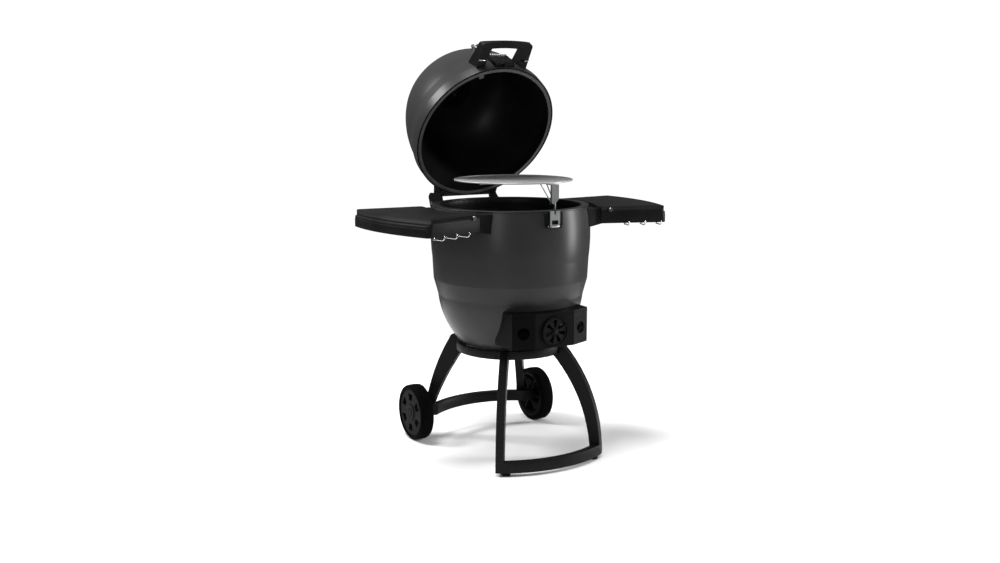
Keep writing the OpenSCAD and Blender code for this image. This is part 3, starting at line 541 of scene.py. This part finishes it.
def dial_plate():
    bm = revolve([(0, 0.01105), (0.0326, 0.01105), (0.0326, 0.01125), (0, 0.01125)], 96)
    finish_mesh("dial", bm, "lid", MATERIALS["dial"], (), DIAL)
    bm = bmesh.new()
    for i in range(41):
        turn = math.radians(-135 + 270 * i / 40)
        long = i % 5 == 0
        length = 0.0052 if long else 0.0030
        place = (Matrix.Rotation(-turn, 4, "Z") @ Matrix.Translation((0, 0.0300 - length / 2, 0.01132))
                 @ Matrix.Diagonal((0.0009 if long else 0.0005, length, 0.0001, 1)))
        bmesh.ops.create_cube(bm, size=1, matrix=place)
    finish_mesh("dial_scale", bm, "lid", MATERIALS["print_ink"], (), DIAL)


dial_plate()


# ---- Camera ----
CAMERA_PLACE = Vector((-1.9644, -3.3121 + AXIS_Y, 1.2456))
CAMERA_FORWARD = Vector((0.49502, 0.85287, -0.16600))
camera_data = bpy.data.cameras.new("camera")
camera_data.lens = 40.08
camera_data.sensor_width = 36
camera = bpy.data.objects.new("camera", camera_data)
camera.location = CAMERA_PLACE
camera.rotation_euler = CAMERA_FORWARD.to_track_quat("-Z", "Y").to_euler()
bpy.context.scene.collection.objects.link(camera)
bpy.context.scene.camera = camera


# ---- Floor and light ----
def make_floor():
    bm = bmesh.new()
    bmesh.ops.create_circle(bm, cap_ends=True, segments=96, radius=FLOOR_R)
    mesh = bpy.data.meshes.new("floor")
    bm.to_mesh(mesh)
    bm.free()
    floor = bpy.data.objects.new("floor", mesh)
    material, tree, bsdf = shader("pale_floor", (0.90, 0.90, 0.90), 0.9, specular=0.1)
    mesh.materials.append(material)
    bpy.context.scene.collection.objects.link(floor)


def area_light(name, place, target, size, power):
    data = bpy.data.lights.new(name, "AREA")
    data.shape = "RECTANGLE"
    data.size, data.size_y = size
    data.energy = power
    light = bpy.data.objects.new(name, data)
    light.location = place
    light.rotation_euler = (Vector(target) - Vector(place)).to_track_quat("-Z", "Y").to_euler()
    bpy.context.scene.collection.objects.link(light)


def sky():
    """White behind the object; dimmer and brighter towards the top for everything that it lights."""
    world = bpy.data.worlds.new("studio")
    world.use_nodes = True
    tree = world.node_tree
    seen = tree.nodes["Background"]
    seen.inputs["Color"].default_value = (1, 1, 1, 1)
    seen.inputs["Strength"].default_value = 1.05
    lighting = tree.nodes.new("ShaderNodeBackground")
    lighting.inputs["Strength"].default_value = SKY_STRENGTH
    place = tree.nodes.new("ShaderNodeTexCoord")
    split = tree.nodes.new("ShaderNodeSeparateXYZ")
    tree.links.new(place.outputs["Generated"], split.inputs["Vector"])
    shades = tree.nodes.new("ShaderNodeValToRGB")
    shades.color_ramp.elements[0].position = 0.05
    shades.color_ramp.elements[0].color = (0.25, 0.25, 0.25, 1)
    shades.color_ramp.elements[1].position = 0.9
    shades.color_ramp.elements[1].color = (1, 1, 1, 1)
    tree.links.new(split.outputs["Z"], shades.inputs["Fac"])
    tree.links.new(shades.outputs["Color"], lighting.inputs["Color"])
    path = tree.nodes.new("ShaderNodeLightPath")
    mix = tree.nodes.new("ShaderNodeMixShader")
    tree.links.new(path.outputs["Is Camera Ray"], mix.inputs["Fac"])
    tree.links.new(lighting.outputs["Background"], mix.inputs[1])
    tree.links.new(seen.outputs["Background"], mix.inputs[2])
    tree.links.new(mix.outputs["Shader"], tree.nodes["World Output"].inputs["Surface"])
    bpy.context.scene.world = world


def sun(name, toward, power, angle):
    data = bpy.data.lights.new(name, "SUN")
    data.energy = power
    data.angle = math.radians(angle)
    light = bpy.data.objects.new(name, data)
    light.rotation_euler = Vector(toward).to_track_quat("-Z", "Y").to_euler()
    bpy.context.scene.collection.objects.link(light)


SKY_STRENGTH = 0.34
FLOOR_R = 1.75
make_floor()
sky()
sun("overhead", (0.15, -0.04, -1), 3.1, 24)
area_light("right_strip", (2.75, -1.45, 1.05), (0, AXIS_Y, 0.72), (0.50, 1.9), 88)
area_light("left_back", (-2.7, 2.0, 3.7), (-0.1, 0.1, 1.1), (1.2, 1.2), 160)
area_light("left_front", (-2.45, -2.3, 1.2), (0, AXIS_Y, 0.72), (0.45, 1.8), 18)

bpy.context.scene.view_settings.view_transform = "Standard"
